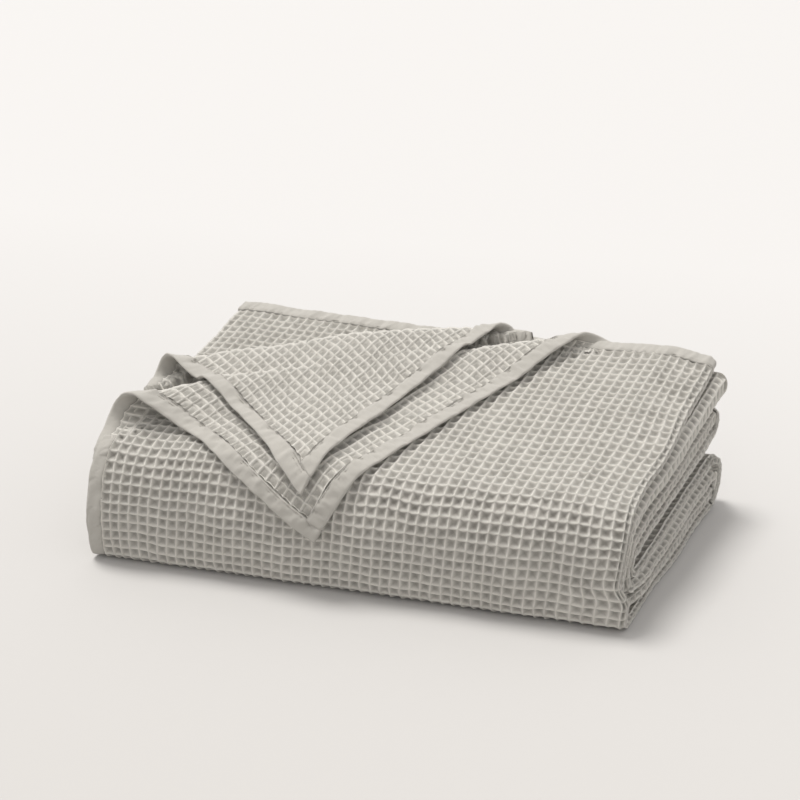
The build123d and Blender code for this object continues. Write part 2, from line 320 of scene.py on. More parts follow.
def tape(name, length, place, thick=0.0038, seed=5, spacing=0.0022):
    """A sewn-on binding: a flat closed tube. place(c, d, h) takes metres along it, metres in
    from the free edge and height, and gives points."""
    width = settings().hem
    n = max(8, int(length / spacing))
    along = np.linspace(0, length, n + 1)
    top = [0.00, 0.03, 0.10, 0.20, 0.32, 0.45, 0.58, 0.70, 0.80, 0.875, 0.93, 1.0]
    profile = []
    for f in top:
        crown = 1 - 0.10 * (2 * f - 1) ** 2
        if f == 0.0:
            crown = 0.0
        elif f < 0.05:
            crown = 0.72
        elif f > 0.99:
            crown = -0.1
        elif f > 0.90:
            crown = 0.62
        elif f > 0.85:
            crown = 0.58
        profile.append((f, crown))
    for f in (0.9, 0.5, 0.1):
        profile.append((f, -1.0))
    profile.append((0.0, 0.0))
    ring = np.arange(len(profile)).astype(float)
    d_of = np.array([p[0] for p in profile]) * width
    h_of = np.array([p[1] for p in profile])

    def shaped(c, k):
        i = np.rint(k).astype(int)
        d = d_of[i]
        h = h_of[i] * thick / 2
        f = d / width
        upper = (h_of[i] > 0.3) * 1.0
        slant = c + 0.35 * d
        pucker = waves(slant, d * 0.25, seed, 0.0085, 5) * 0.00085
        pucker = pucker + waves(slant, d * 0.6, seed + 1, 0.017, 5) * 0.00115
        pucker = pucker * (0.35 + 0.9 * f)
        swell = waves(c, d * 0, seed + 2, 0.05, 5) * 0.0005
        h = h + upper * (pucker + 0.0004) + swell * (h_of[i] != -1.0)
        d = d + waves(c, c * 0, seed + 3, 0.028, 5) * 0.0006 * (1 - f)
        return place(c, d, h)

    piece = grid_mesh(
        name,
        along,
        ring,
        shaped,
        uv=lambda c, k: (c / TAPE_PATTERN, d_of[np.rint(k).astype(int)] / TAPE_PATTERN),
        weld=True,
    )
    close_ends(piece)
    return piece


def thread(name, length, place, inset, stitch=0.0034, radius=0.00050):
    """A row of stitches, each a short bead of thread, inset from the free edge."""
    count = max(2, int(length / stitch))
    parts = (0.0, 0.12, 0.35, 0.65, 0.88)
    along = np.array([i + t for i in range(count) for t in parts] + [float(count)])
    ring = np.arange(7).astype(float)

    def shaped(c, k):
        f = c - np.floor(c)
        r = radius * np.sqrt(np.clip(1 - (2 * f - 1) ** 4, 0, 1))
        angle = k / 6 * 2 * math.pi
        return place(c * stitch, inset + r * np.cos(angle), r * np.sin(angle))

    return grid_mesh(name, along, ring, shaped, weld=True)


# ---- The turned-back corner ----


class Corner:
    """Where a turned-back corner lies. Its crease runs from start to stop, its tip is at tip,
    each (xb, s). base and rest are heights above the pile's own top sheet, and radii are pairs
    of a share of the crease and the roll's radius there. slip is how far the roll's loose left
    end has slipped forward."""

    def __init__(self, start, stop, tip, base, radii, rest, slip, hump=0.0):
        self.start = np.array(start)
        self.stop = np.array(stop)
        self.tip = np.array(tip)
        self.base = base
        self.radii = radii
        self.rest = rest
        self.slip = slip
        self.hump = hump
        self.lower = None
        p, q, t = [self.flat(a) for a in (self.start, self.stop, self.tip)]
        self.origin = p
        self.crease = np.linalg.norm(q - p)
        self.u = (q - p) / self.crease
        n = np.array([-self.u[1], self.u[0]])
        self.n = n if n @ (t - p) > 0 else -n
        self.side = np.linalg.norm(p - t)
        self.back = np.linalg.norm(q - t)

    def flat(self, point):
        """Metres in the plane of the top, from the cloth's own (xb, s)."""
        point = np.asarray(point, float)
        return np.stack([point[..., 0] - LEAN * 0.98 * point[..., 1], point[..., 1]], -1)

    def on_pile(self, plane):
        return plane[..., 0] + LEAN * 0.98 * plane[..., 1], plane[..., 1]

    def radius(self, share):
        """Radius of the roll at the share of the way along the crease."""
        fine = np.linspace(-0.2, 1.2, 281)
        line = np.interp(fine, [k[0] for k in self.radii], [k[1] for k in self.radii])
        kernel = np.exp(-0.5 * (np.arange(-15, 16) / 5.0) ** 2)
        line = np.convolve(np.pad(line, 15, "edge"), kernel / kernel.sum(), "valid")
        return np.interp(share, fine, line)

    def distances(self, a, b):
        """Metres along and across the crease of the point a, b from the tip."""
        t = self.flat(self.tip)
        p = self.flat(self.start)
        q = self.flat(self.stop)
        a = np.asarray(a, float)[..., None]
        b = np.asarray(b, float)[..., None]
        plane = t + a * (p - t) / self.side + b * (q - t) / self.back
        away = plane - self.origin
        return away @ self.u, away @ self.n

    def from_crease(self, xb, s):
        """Metres along and across the crease of a place on the pile."""
        away = self.flat(np.stack([xb, s], -1)) - self.origin
        return away @ self.u, away @ self.n

    def place(self, a, b, out=0.0):
        """The point a metres along the side hem and b along the back hem, from the tip."""
        along, across = self.distances(a, b)
        r = self.radius(along / self.crease)
        half = r * math.pi / 2
        angle = np.clip(across / r, -math.pi / 2, math.pi / 2)
        past = np.clip(across - half, 0, None)
        under = np.clip(-across - half, 0, None)
        q = r * (1 - np.cos(angle)) + past + under
        h = r * (1 + np.sin(angle))
        rest = self.rest - self.base
        settle = 3.4 * r + 0.022
        h = h + (rest - 2 * r) * ease(past / settle)
        h = h + self.hump * np.exp(-(((past - 0.050) / 0.030) ** 2)) * (past > 0)
        lift = 0.0010 * waves(a, b, 41, 0.09) * ease(past / 0.04)
        turn_q = np.where(past > 0, 0.0, -np.cos(angle))
        turn_h = np.where(past > 0, 1.0, np.where(under > 0, -1.0, np.sin(angle)))
        loose = np.exp(-((np.clip(along, 0, None) / 0.042) ** 2))
        held = ease(past / 0.10) + ease(under / 0.06)
        q = q + out * turn_q
        along = along - 0.002 * loose * np.cos(angle)
        plane = self.origin + along[..., None] * self.u + q[..., None] * self.n
        xb, s = self.on_pile(plane)
        s = s + self.slip * loose * (1 - held)
        level = self.base + h
        if self.lower is not None:
            below = self.lower.cover(xb, s) + 0.0052
            gap = (level - below) / 0.004
            level = below + 0.004 * np.logaddexp(0, gap)
            keep = (under > 0) | (angle < 0)
            level = np.where(keep, np.minimum(level, np.maximum(self.base + h, below)), level)
            level = np.where(under > 0, self.base + h, level)
        return folded(xb, s, 0.0, level + lift + out * turn_h)

    def cover(self, xb, s):
        """Height of this corner's upper side above the pile's own top sheet."""
        along, q = self.from_crease(xb, s)
        loose = np.exp(-((np.clip(along, 0, None) / 0.042) ** 2))
        q = q - 0.8 * self.slip * loose
        r = self.radius(along / self.crease)
        past = np.clip(q - r, 0, None)
        rest = self.rest - self.base
        top = 2 * r + (rest - 2 * r) * ease(past / (3.4 * r + 0.022))
        inner = np.clip(1 - q / r, 0, 1)
        arc = r * (1 + np.sqrt(1 - inner**2))
        height = np.where(q > r, top, arc)
        bridge = np.clip(1 + q / (2.2 * r), 0, 1) ** 1.5
        height = np.where(q < 0, r * bridge, height)
        return self.base + height


def corner_a():
    radii = (
        (0.0, 0.0255),
        (0.06, 0.0150),
        (0.14, 0.0115),
        (0.30, 0.0070),
        (0.55, 0.0070),
        (0.72, 0.0112),
        (0.88, 0.0106),
        (1.0, 0.0098),
    )
    return Corner(
        (-SIZE.width, 0.222), (-0.150, 0.0), (-0.3255, 0.377), -0.0050, radii, 0.0052, 0.033
    )


def corner_b():
    radii = (
        (0.0, 0.0290),
        (0.05, 0.0160),
        (0.12, 0.0115),
        (0.25, 0.0120),
        (0.38, 0.0130),
        (0.50, 0.0165),
        (0.62, 0.0180),
        (0.75, 0.0155),
        (0.88, 0.0128),
        (1.0, 0.0134),
    )
    corner = Corner(
        (-SIZE.width, 0.150), (-0.256, 0.0), (-0.342, 0.331), -0.0105, radii, 0.0104, 0.020, 0.002
    )
    corner.lower = corner_a()
    return corner


# ---- Materials ----


class Node:
    """A socket in a material, so that shader maths can be written as an expression."""

    def __init__(self, tree, socket):
        self.tree = tree
        self.socket = socket

    @classmethod
    def make(cls, tree, kind, props=None, inputs=None, output=0):
        node = tree.nodes.new(kind)
        for key, value in (props or {}).items():
            if key == "stops":
                ramp = node.color_ramp
                while len(ramp.elements) < len(value):
                    ramp.elements.new(0.5)
                for element, (at, colour) in zip(ramp.elements, value):
                    element.position = at
                    element.color = colour
            else:
                setattr(node, key, value)
        for key, value in (inputs or {}).items():
            if isinstance(value, Node):
                tree.links.new(value.socket, node.inputs[key])
            else:
                node.inputs[key].default_value = value
        return cls(tree, node.outputs[output])

    def maths(self, operation, other=None, swap=False):
        pair = [self, other] if other is not None else [self]
        if swap:
            pair.reverse()
        return Node.make(
            self.tree, "ShaderNodeMath", {"operation": operation}, dict(enumerate(pair))
        )

    def __add__(self, other):
        return self.maths("ADD", other)

    __radd__ = __add__

    def __sub__(self, other):
        return self.maths("SUBTRACT", other)

    def __rsub__(self, other):
        return self.maths("SUBTRACT", other, swap=True)

    def __mul__(self, other):
        return self.maths("MULTIPLY", other)

    __rmul__ = __mul__

    def __pow__(self, other):
        return self.maths("POWER", other)

    def wave(self):
        return self.maths("SINE")

    def part(self):
        return self.maths("FRACT")

    def size(self):
        return self.maths("ABSOLUTE")

    def above(self, other):
        return self.maths("MAXIMUM", other)

    def below(self, other):
        return self.maths("MINIMUM", other)


def blend_colours(tree, factor, one, two):
    """A colour between one and two."""
    return Node.make(
        tree,
        "ShaderNodeMix",
        {"data_type": "RGBA", "blend_type": "MIX"},
        {0: factor, 6: one, 7: two},
        output=2,
    )


def new_material(name):
    material = bpy.data.materials.new(name)
    material.use_nodes = True
    tree = material.node_tree
    shader = tree.nodes["Principled BSDF"]
    shader.inputs["Roughness"].default_value = 0.9
    shader.inputs["Specular IOR Level"].default_value = 0.22
    shader.inputs["Sheen Weight"].default_value = 0.22
    shader.inputs["Sheen Roughness"].default_value = 0.5
    return material, tree, shader


def cloth_sockets(tree):
    """The cloth's own coordinates, in cells, together and one by one."""
    uv = Node.make(tree, "ShaderNodeUVMap", {"uv_map": "cloth"})
    split = Node.make(tree, "ShaderNodeSeparateXYZ", None, {0: uv})
    outputs = split.socket.node.outputs
    return uv, Node(tree, outputs[0]), Node(tree, outputs[1])


def noise(tree, vector, scale, detail=2.0, roughness=0.5):
    return Node.make(
        tree,
        "ShaderNodeTexNoise",
        {"noise_dimensions": "3D"},
        {"Vector": vector, "Scale": scale, "Detail": detail, "Roughness": roughness},
    )


def waffle_material():
    """Soft cotton: ridges of thick yarn, floats that step down into each cell, and fuzz, with
    painted shade darkening the cells.
    """
    material, tree, shader = new_material("waffle_cotton")
    uv, u, v = cloth_sockets(tree)
    a = (u.part() - 0.5).size() * 2
    b = (v.part() - 0.5).size() * 2
    rim = a.above(b)
    threads = 15.0
    warp = (u * (threads * 2 * math.pi)).wave()
    weft = (v * (threads * 2 * math.pi)).wave()
    across = Node.make(
        tree, "ShaderNodeMath", {"operation": "GREATER_THAN"}, {0: a, 1: b}
    )
    yarn = across * weft + (1 - across) * warp
    fuzz = noise(tree, uv, 24.0, 3.0, 0.65)
    clumps = noise(tree, uv, 6.0, 3.0, 0.6)
    patch = noise(tree, uv, 0.35, 2.0)
    flecks = noise(tree, uv, 7.0, 2.0)
    # Painted shade: down in each cell the cloth turns to a much darker colour that stands in for
    # the shade in the recesses.
    tone = blend_colours(tree, rim**2.6, settings().cell_shade_colour, settings().cloth_colour)
    shade = patch * 0.5 + flecks * 0.5
    tone = blend_colours(tree, (shade - 0.38) * 1.4 * 0.5, tone, settings().pale_colour)
    tree.links.new(tone.socket, shader.inputs["Base Color"])
    height = yarn * 0.00036 + fuzz * 0.0012 + clumps * 0.0007
    bump = Node.make(
        tree, "ShaderNodeBump", None, {"Strength": 0.8, "Distance": 1.0, "Height": height}
    )
    tree.links.new(bump.socket, shader.inputs["Normal"])
    return material


def binding_material():
    """Plain-weave cotton tape, finely ribbed, with small creases; its colour is darker in random
    patches and, as painted shade, in the hollows of the creases.
    """
    material, tree, shader = new_material("plain_cotton")
    uv, u, v = cloth_sockets(tree)
    threads = 22.0
    warp = (u * (threads * math.pi)).wave()
    weft = (v * (threads * math.pi)).wave()
    weave = warp * weft
    fuzz = noise(tree, uv, 30.0, 3.0, 0.6)
    crease = noise(tree, uv, 1.6, 3.0, 0.55)
    patch = noise(tree, uv, 0.5, 2.0)
    # Darker in random patches, and darker where the crease bump is low: painted shade in the
    # creases.
    tone = blend_colours(
        tree, patch * 0.7 + crease * 0.3, settings().tape_shade_colour, settings().tape_colour
    )
    tree.links.new(tone.socket, shader.inputs["Base Color"])
    height = weave * 0.00007 + fuzz * 0.00018 + crease * 0.0011
    bump = Node.make(
        tree, "ShaderNodeBump", None, {"Strength": 0.8, "Distance": 1.0, "Height": height}
    )
    tree.links.new(bump.socket, shader.inputs["Normal"])
    return material


def thread_material():
    """Sewing thread, a touch darker than the tape, the darkness being painted shade along the rows
    of stitches.
    """
    material, tree, shader = new_material("sewing_thread")
    uv, u, v = cloth_sockets(tree)
    twist = (u * 30.0 + v * 9.0).wave()
    fuzz = noise(tree, uv, 20.0)
    # Painted shade: the thread's dark colour stands in for the shadow along the stitches.
    tone = blend_colours(tree, fuzz, settings().tape_shade_colour, settings().thread_shaded_colour)
    tree.links.new(tone.socket, shader.inputs["Base Color"])
    bump = Node.make(
        tree,
        "ShaderNodeBump",
        None,
        {"Strength": 0.5, "Distance": 1.0, "Height": twist * 0.0001},
    )
    tree.links.new(bump.socket, shader.inputs["Normal"])
    return material


def material(kind):
    names = {
        "waffle": ("waffle_cotton", waffle_material),
        "tape": ("plain_cotton", binding_material),
        "thread": ("sewing_thread", thread_material),
    }
    name, make = names[kind]
    return bpy.data.materials.get(name) or make()


def flat_cut(piece):
    """Flat size and area of a piece of waffle cloth, from the cloth coordinates, in cells, that
    its mesh was laid out in."""
    mesh = piece.data
    assert len(mesh.loops) == 4 * len(mesh.polygons)
    points = np.empty(len(mesh.loops) * 2)
    mesh.uv_layers.active.data.foreach_get("uv", points)
    u, v = points.reshape(-1, 4, 2).transpose(2, 0, 1) * settings().cell
    cross = u * np.roll(v, -1, axis=1) - v * np.roll(u, -1, axis=1)
    width, length = float(np.ptp(u)), float(np.ptp(v))
    area = float(np.abs(cross.sum(axis=1)).sum() / 2)
    return (width, length), min(area, width * length)


def laid_length(line, start, end):
    """Length of the line that line(c) draws as c goes from start to end."""
    points = line(np.linspace(start, end, 400))
    return float(np.linalg.norm(np.diff(points, axis=0), axis=1).sum())


def finish_piece(piece, kind, nodes=(), sheet=None):
    """Gives a piece its material and its body, hides the CAD nodes it stands for and works out its
    cloth's flat size and area, which are not kept.
    """
    piece.data.materials.clear()
    piece.data.materials.append(material(kind))
    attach(piece, "root")
    if nodes:
        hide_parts(*nodes)
    if kind == "waffle":
        flat, area = flat_cut(piece)
    elif sheet is not None:
        flat, area = sheet
    return piece


def sew(name, length, place):
    """The two rows of stitches that hold the binding called name, laid by the same place."""

    def lifted(c, d, h):
        return place(c, d, h + STITCH_LIFT)

    for row, step in enumerate(STITCH_ROWS):
        inset = settings().hem - step
        stitches = thread("%s_stitches_%d" % (name, row), length, lifted, inset)
        finish_piece(stitches, "thread")


# ---- Settings ----


def colour(name, description, rgb):
    """A colour setting."""
    return bpy.props.FloatVectorProperty(
        name=name, description=description, subtype="COLOR", size=4, default=rgb + (1.0,)
    )


class BlanketSettings(bpy.types.PropertyGroup):
    """Sizes and colours of the cloth."""

    cell: bpy.props.FloatProperty(
        name="Cell", description="Pitch of the waffle", default=0.0114, unit="LENGTH"
    )
    relief: bpy.props.FloatProperty(
        name="Relief", description="Depth of a cell", default=0.0052, unit="LENGTH"
    )
    hem: bpy.props.FloatProperty(
        name="Hem", description="Width of the binding", default=0.019, unit="LENGTH"
    )
    cloth_colour: colour("Cloth", "Colour of the ridges", (0.90, 0.867, 0.795))
    # Painted shade: the dark colour down in the cells stands in for the shade in their recesses.
    cell_shade_colour: colour("Cells", "Colour down in the cells", (0.36, 0.342, 0.306))
    pale_colour: colour("Pale yarn", "Colour of the palest patches", (0.88, 0.848, 0.778))
    tape_colour: colour("Binding", "Colour of the binding", (0.415, 0.397, 0.362))
    # Darker tone of the binding: random patches, and painted shade in the hollows of its creases.
    tape_shade_colour: colour("Binding shade", "Darker tone of the binding", (0.365, 0.349, 0.316))
    # Painted shade: the thread is darkened to stand in for the shadow along the stitches.
    thread_shaded_colour: colour("Thread", "Colour of the sewing thread", (0.36, 0.342, 0.305))
    # Painted shade: the near floor is darker to stand in for the light falling off towards the
    # front.
    floor_near_shade_colour: colour("Near floor", "Colour of the floor in front", (0.415, 0.400, 0.380))
    floor_far_colour: colour("Far floor", "Colour of the floor behind", (0.530, 0.521, 0.512))
    azimuth: bpy.props.FloatProperty(
        name="Camera azimuth",
        description="How far the camera stands to the right of the front",
        default=math.radians(14.0),
        subtype="ANGLE",
    )
    elevation: bpy.props.FloatProperty(
        name="Camera elevation",
        description="How far the camera looks down",
        default=math.radians(26.4),
        subtype="ANGLE",
    )


def settings():
    return bpy.context.scene.blanket


# ---- Pieces ----

LEVELS = (0.0, 0.19, 0.50, 0.75, 0.94)  # how far in the sides of the runs are, from the outside
ROUND = 3  # cells of cloth round the right end of a run
HIDDEN = 4  # cells that a run goes on for, out of sight


def half_ring(low, high, start, reach):
    """Points of a turn at the back, from the height low to the height high."""
    angle = np.linspace(0, math.pi, 60)
    y = start + reach * np.sin(angle)
    z = (low + high) / 2 - (high - low) / 2 * np.cos(angle)
    return y, z


def heights(start):
    """Heights of the levels below and above the middle of the pile at the depth start."""
    s = SIZE
    slope = (s.back_height - s.front_height) / (s.depth - s.nose)
    full = s.front_height + slope * (start - s.nose)
    low = [full * s.core * t for t in LEVELS]
    high = [full * (1 - (1 - s.core) * t) for t in LEVELS]
    return low, high


def strip_sides(kind):
    """The two sides of a stretch of the folded strip, seen from its right end."""
    down = np.arange(BOTTOM_BACK, UPPER_END, -0.001)
    up = down[::-1]
    long_up = np.arange(BOTTOM_BACK, 0.0, -0.001)
    low, _ = heights(SIZE.depth - TURN_BACK)
    _, high = heights(SIZE.depth - UPPER_BACK)
    if kind == "outer":
        s = np.arange(0, BOTTOM_BACK, 0.001)
        x_side = section(s, LEVELS[0])
        y_side = section(s, LEVELS[1])
    elif kind == "turn_lower_outer":
        start = SIZE.depth - TURN_BACK
        x_side = half_ring(low[0], low[4], start, TURN_BACK)
        y_side = half_ring(low[1], low[3], start, TURN_BACK * 0.5)
    elif kind == "wrap_4":
        x_side = section(down, LEVELS[4])
        y_side = section(down, LEVELS[3])
    elif kind == "turn_upper":
        start = SIZE.depth - UPPER_BACK
        x_side = half_ring(high[4], high[2], start, UPPER_BACK)
        y_side = half_ring(high[3] - 0.0005, high[3] + 0.0005, start, 0.001)
    elif kind == "wrap_3":
        x_side = section(up, LEVELS[2])
        y_side = section(up, LEVELS[3])
    elif kind == "turn_lower_inner":
        start = SIZE.depth - TURN_BACK
        x_side = half_ring(low[2] + 0.0005, low[2] - 0.0005, start, 0.001)
        y_side = half_ring(low[3], low[1], start, TURN_BACK * 0.5)
    else:
        x_side = section(long_up, LEVELS[2])
        y_side = section(long_up, LEVELS[1])
    return x_side, y_side


def lip_push(y, z, outward, spread):
    """How far right a run's end stands out at the place y, z. outward is for the upper half at
    the back and spread is how much of the lower half's spreading it takes."""
    depth = np.clip(y / SIZE.depth, 0, 1.1)
    middle = (SIZE.front_height + 0.05 * depth) * SIZE.core
    low = ease((middle - z) / 0.025)
    push = (outward + (0.012 - outward) * low) * depth**1.3
    return push + 0.014 * low * (1 - 0.6 * depth) * spread + 0.0024 * waves(y, z, 71, 0.15, 6)


def strip(kind):
    """Surface of a stretch of the strip. u goes round its right end, v along it."""
    (xy, xz), (yy, yz) = strip_sides(kind)
    my, mz = (xy + yy) / 2, (xz + yz) / 2
    along = np.concatenate([[0], np.cumsum(np.hypot(np.diff(my), np.diff(mz)))])
    cell = settings().cell
    arc = ROUND * cell

    def place(u, v):
        ay, az = np.interp(v, along, xy), np.interp(v, along, xz)
        by, bz = np.interp(v, along, yy), np.interp(v, along, yz)
        half = np.hypot(ay - by, az - bz) / 2
        my, mz = (ay + by) / 2, (az + bz) / 2
        push = lip_push(my, mz, 0.009, ease(my / (0.25 * SIZE.depth)))
        lip = np.clip(half, 0.003, 0.012)
        angle = np.clip(u / arc, 0, 1) * math.pi
        side = (1 - np.cos(angle)) / 2
        y = ay + (by - ay) * side
        z = az + (bz - az) * side
        x = push - lip + lip * np.sin(angle)
        x = x + np.minimum(u, 0) - np.clip(u - arc, 0, None)
        return in_pile(x, y, z)

    x_length = float(np.sum(np.hypot(np.diff(xy), np.diff(xz))))
    return place, along[-1], x_length


def layer(kind):
    """Places inside a stretch of the strip: xb, metres along, share of the way between its two
    sides, and metres out of it. Also the stretch's length."""
    (xy, xz), (yy, yz) = strip_sides(kind)
    my, mz = (xy + yy) / 2, (xz + yz) / 2
    along = np.concatenate([[0], np.cumsum(np.hypot(np.diff(my), np.diff(mz)))])

    def place(xb, v, f, out=0.0):
        ay, az = np.interp(v, along, xy), np.interp(v, along, xz)
        by, bz = np.interp(v, along, yy), np.interp(v, along, yz)
        size = np.hypot(ay - by, az - bz) + 1e-6
        y = ay + (by - ay) * f + out * (ay - by) / size
        z = az + (bz - az) * f + out * (az - bz) / size
        return in_pile(xb, y, z)

    return place, along[-1]


def top_run(u, s):
    """Surface of the first wrap. u is metres along the cloth, 0 where its right end starts to
    turn under, and s metres along it from the back hem."""
    arc = ROUND * settings().cell
    y, z = section(s, 0.5 * LEVELS[1])
    core_y = np.interp(s, PATH, CORE_Y)
    core_z = np.interp(s, PATH, CORE_Z)
    outer_y, outer_z = section(s, 0.0)
    half = 0.5 * LEVELS[1] * np.hypot(core_y - outer_y, core_z - outer_z)
    half = np.clip(half, 0.003, 0.012)
    angle = np.clip(u / arc, 0, 1) * math.pi
    share = LEVELS[0] + (LEVELS[1] - LEVELS[0]) * (1 - np.cos(angle)) / 2
    x = half * np.sin(angle) - half + np.minimum(u, 0) - np.clip(u - arc, 0, None)
    x = x + ease((x + 0.08) / 0.08) * lip_push(y, z, -0.006, 1.0)
    return folded(x, s, share)


class BLANKET_OT_top(bpy.types.Operator):
    """Top sheet of the pile, round the nose, with the soft lip of its right end"""

    bl_idname = "blanket.top"
    bl_label = "Top sheet"

    def execute(self, context):
        cell = settings().cell
        hem = settings().hem
        left = -int(round((SIZE.width - hem - 0.009) / cell))
        corner = corner_a()
        start = -0.009

        def shifted(u, v):
            return top_run(u, v + hem)

        def kept(u, v):
            along, across = corner.from_crease(u * cell + start, v * cell + hem)
            clear = corner.radius(along / corner.crease) * 0.5
            return (across > clear) | (v * cell > 0.30)

        piece = waffle("top_sheet", (left, 5), (0, 40), shifted, side=-1, keep=kept, seed=1)
        finish_piece(piece, "waffle", ["sheet_a"])
        rows = int((BOTTOM_BACK - hem) / cell)
        piece = waffle("bottom_edge", (-3, 6), (40, rows), shifted, side=-1, seed=1)
        finish_piece(piece, "waffle")
        piece = waffle(
            "underside", (left, -3), (40, rows), shifted, side=-1, steps=COARSE_STEPS, seed=1
        )
        finish_piece(piece, "waffle")
        return {"FINISHED"}


class BLANKET_OT_under_sheets(bpy.types.Operator):
    """The sheets that show where the corner is turned back"""

    bl_idname = "blanket.under_sheets"
    bl_label = "Sheets under the corner"

    def execute(self, context):
        cell = settings().cell
        hem = settings().hem
        a = corner_a()
        b = corner_b()
        left = -int(round((SIZE.width - hem) / cell))

        def at_layer(out=0.0):
            return lambda u, v: folded(u, v + hem, 0.0, out)

        def between(u, v):
            past_b = b.from_crease(u * cell, v * cell + hem)[1]
            past_a = a.from_crease(u * cell, v * cell + hem)[1]
            return (past_b > 0.008) & (past_a < 0.03)

        def behind(u, v):
            return b.from_crease(u * cell, v * cell + hem)[1] < 0.05

        piece = waffle(
            "sheet_b_strip",
            (left, -6),
            (0, 18),
            at_layer(-0.0052),
            side=-1,
            keep=between,
            steps=COARSE_STEPS,
            seed=2,
        )
        finish_piece(piece, "waffle", ["sheet_b"])

        def with_fold(u, v):
            radius = 0.0048
            edge = -SIZE.width + 0.006
            angle = np.clip((edge - u) / radius, 0, math.pi)
            x = np.maximum(u, edge) - radius * np.sin(angle)
            x = x + np.clip(edge - u - math.pi * radius, 0, None)
            return folded(x, v + hem, 0.0, -0.0105 - radius * (1 - np.cos(angle)))

        piece = waffle(
            "sheet_c_back", (left - 5, -18), (0, 18), with_fold, side=-1, keep=behind, seed=3
        )
        finish_piece(piece, "waffle", ["sheet_cd"])
        return {"FINISHED"}


class BLANKET_OT_corners(bpy.types.Operator):
    """The two turned-back corners with their rolled creases, bindings and stitches"""

    bl_idname = "blanket.corners"
    bl_label = "Turned-back corners"

    def execute(self, context):
        hem = settings().hem
        cell = settings().cell
        for name, corner, seed in (("a", corner_a(), 4), ("b", corner_b(), 6)):

            def place(u, v, corner=corner):
                return corner.place(u + hem, v + hem)

            def lining(u, v, corner=corner):
                u = u + hem - LINING_TUCK * np.clip(1 - u / cell, 0, 1)
                v = v + hem - LINING_TUCK * np.clip(1 - v / cell, 0, 1)
                return corner.place(u, v, -LINING_DROP)

            def kept(u, v, corner=corner):
                along, across = corner.distances(u * cell + hem, v * cell + hem)
                return across > -1.6 * corner.radius(along / corner.crease) - 0.012

            size = (int(corner.side / cell) + 6, int(corner.back / cell) + 6)
            piece = waffle(
                "flap_" + name, (0, size[0]), (0, size[1]), place, side=-1, keep=kept, seed=seed
            )
            nodes = ["flap_" + name, "roll_" + name]
            finish_piece(piece, "waffle", nodes)
            piece = waffle(
                "flap_%s_lining" % name,
                (0, size[0]),
                (0, size[1]),
                lining,
                side=1,
                keep=kept,
                depth=LINING_DEPTH,
                steps=COARSE_STEPS,
                seed=seed,
            )
            finish_piece(piece, "waffle")

            def side_tape(c, d, h, corner=corner):
                return corner.place(c, d, h)

            def back_tape(c, d, h, corner=corner):
                return corner.place(d, c + hem - 0.0012, h - 0.0005)

            for edge, length, way in (
                ("side", corner.side + 0.105, side_tape),
                ("back", corner.back - hem + 0.040, back_tape),
            ):
                full = "flap_%s_binding_%s" % (name, edge)
                piece = tape(full, length, way, seed=seed + 20)
                finish_piece(piece, "tape", [full], ((length, hem), None))
                sew(full, length, way)
        return {"FINISHED"}


class BLANKET_OT_side_hems(bpy.types.Operator):
    """Left hems of the sheets A and B, and the folds that join C and D"""

    bl_idname = "blanket.side_hems"
    bl_label = "Left hems"

    def execute(self, context):
        hem = settings().hem
        cell = settings().cell
        w = SIZE.width
        nodes = {
            "outer": "binding_left_%s",
            "wrap_2": "binding_left_2",
            "wrap_3": "binding_left_3",
            "wrap_4": "binding_left_4",
        }
        for number, (kind, starts) in enumerate(
            (
                ("outer", (0.285, 0.25)),
                ("turn_lower_outer", (0, 0)),
                ("wrap_4", (0, 0)),
                ("turn_upper", (0, 0)),
                ("wrap_3", (0, 0)),
                ("turn_lower_inner", (0, 0)),
                ("wrap_2", (0, 0)),
            )
        ):
            inside, length = layer(kind)
            for i, (share, start) in enumerate(zip((0.125, 0.375), starts)):
                front = kind == "outer" and i == 0

                def place(c, d, h, start=start, share=share, i=i, front=front, inside=inside):
                    if front:
                        return folded(-w + d, start + c, 0.0, h - 0.0042)
                    return inside(-w + 0.002 * i + d, start + c, share, h)

                end = (BOTTOM_BACK if kind == "outer" else length) - start
                name = "left_hem_%s_%s" % (kind, "ab"[i])
                spacing = 0.0022 if front else 0.005
                cut = laid_length(lambda c: place(c, 0 * c + hem / 2, 0 * c), 0, end)

                def laid(c, d, h, place=place, scale=end / cut):
                    return place(c * scale, d, h)

                piece = tape(name, cut, laid, seed=40 + 2 * number + i, spacing=spacing)
                node = nodes.get(kind)
                if node and "%s" in node:
                    node = node % "ab"[i]
                elif i:
                    node = None
                finish_piece(piece, "tape", [node] if node else [], ((cut, hem), None))
                if front:
                    sew(name, cut, laid)
            start = 17 * cell if kind == "outer" else 0.0

            def bend(u, v, arc, inside=inside):
                angle = np.clip(u / arc, 0, 1) * math.pi
                x = -w + 0.008 - 0.006 * np.sin(angle)
                x = x - np.minimum(u, 0) + np.clip(u - arc, 0, None)
                f = 0.5 + 0.49 * (1 - np.cos(angle)) / 2
                return inside(x, v, f)

            middle = (start + length) / 2
            arc = laid_length(lambda t: bend(t, 0 * t + middle, 1.0), 0, 1)
            cut = laid_length(lambda c: bend(0 * c + arc / 2, c, arc), start, length)
            rows = max(1, int(round(cut / cell)))
            scale = (length - start) / (rows * cell)

            def fold(u, v, bend=bend, start=start, scale=scale, arc=arc):
                return bend(u, start + v * scale, arc)

            piece = waffle(
                "left_fold_" + kind,
                (-1, int(math.ceil(arc / cell)) + 1),
                (0, rows),
                fold,
                side=1,
                depth=FOLD_DEPTH,
                steps=COARSE_STEPS,
                seed=60,
            )
            finish_piece(piece, "waffle")
        return {"FINISHED"}


